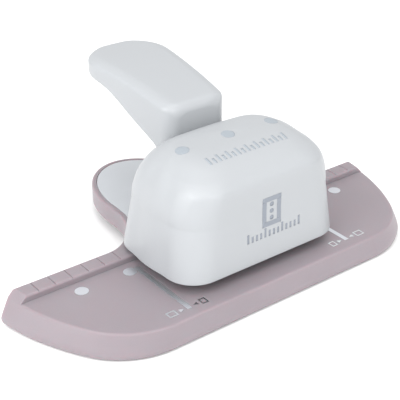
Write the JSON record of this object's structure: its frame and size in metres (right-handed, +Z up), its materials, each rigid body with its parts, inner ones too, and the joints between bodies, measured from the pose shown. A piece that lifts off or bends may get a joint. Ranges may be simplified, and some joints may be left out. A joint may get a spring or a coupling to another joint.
{
  "type": "three-hole paper punch",
  "caption": "Desktop hole punch for planner pages: a grey base with a scale fence, a rounded white head over the punching row, and a lever that reaches back over a long tail.",
  "frame": {"origin": "middle of the bounding box in plan, at table height", "axes": "+X to the user's right along the row of holes, +Y away from the user towards the tail and the lever's end, +Z up"},
  "size_m": [0.163, 0.104, 0.0621],
  "materials": {
    "base_plastic": "fine-grained satin, warm grey",
    "cover_plastic": "smooth, soft gloss, cool white",
    "pad_plastic": "matt, pale grey",
    "lid_plastic": "matt, translucent white",
    "steel": "ground",
    "zinc_plate": "zinc plated",
    "spring_wire": "drawn wire",
    "rubber": "moulded, dark grey"
  },
  "bodies": {
    "base": {"base_shell": "base_plastic", "tail_pad": "pad_plastic", "die_plate": "steel", "punch_frame": "zinc_plate", "head_cover": "cover_plastic", "pivot_pin": "steel", "pivot_clip_left": "steel", "pivot_clip_right": "steel", "head_screw_left": "steel", "head_screw_right": "steel", "frame_screw_left": "steel", "frame_screw_right": "steel", "die_screw_left": "steel", "die_screw_right": "steel", "foot_front_left": "rubber", "foot_front_right": "rubber", "foot_rear_left": "rubber", "foot_rear_right": "rubber", "foot_tail": "rubber", "punch_spring_left": "spring_wire", "punch_spring_centre": "spring_wire", "punch_spring_right": "spring_wire"},
    "lever": {"lever_arm": "zinc_plate", "lever_handle": "cover_plastic", "handle_screw_front": "steel", "handle_screw_rear": "steel"},
    "press": {"press_bar": "zinc_plate", "punch_left": "steel", "punch_centre": "steel", "punch_right": "steel"},
    "chip_lid": {"chip_lid": "lid_plastic"}
  },
  "joints": [
    {"name": "lever_hinge", "type": "hinge", "parent": "base", "child": "lever", "pos_m": [0, -0.03015, 0.031], "axis": [-1, 0, 0], "range_deg": [0, 23.78], "stiffness_Nm_per_rad": 0.45, "springref_deg": -11.46},
    {"name": "press_slide", "type": "slide", "parent": "base", "child": "press", "axis": [0, 0, -1], "range_m": [0, 0.0054], "deforming": ["punch_spring_left", "punch_spring_centre", "punch_spring_right"]},
    {"name": "chip_lid_slide", "type": "slide", "parent": "base", "child": "chip_lid", "axis": [0, 1, 0], "range_m": [0, 0.029]}
  ],
  "couplings": [
    {"joint": "press_slide", "follows": "lever_hinge", "m_per_rad": 0.012906}
  ]
}
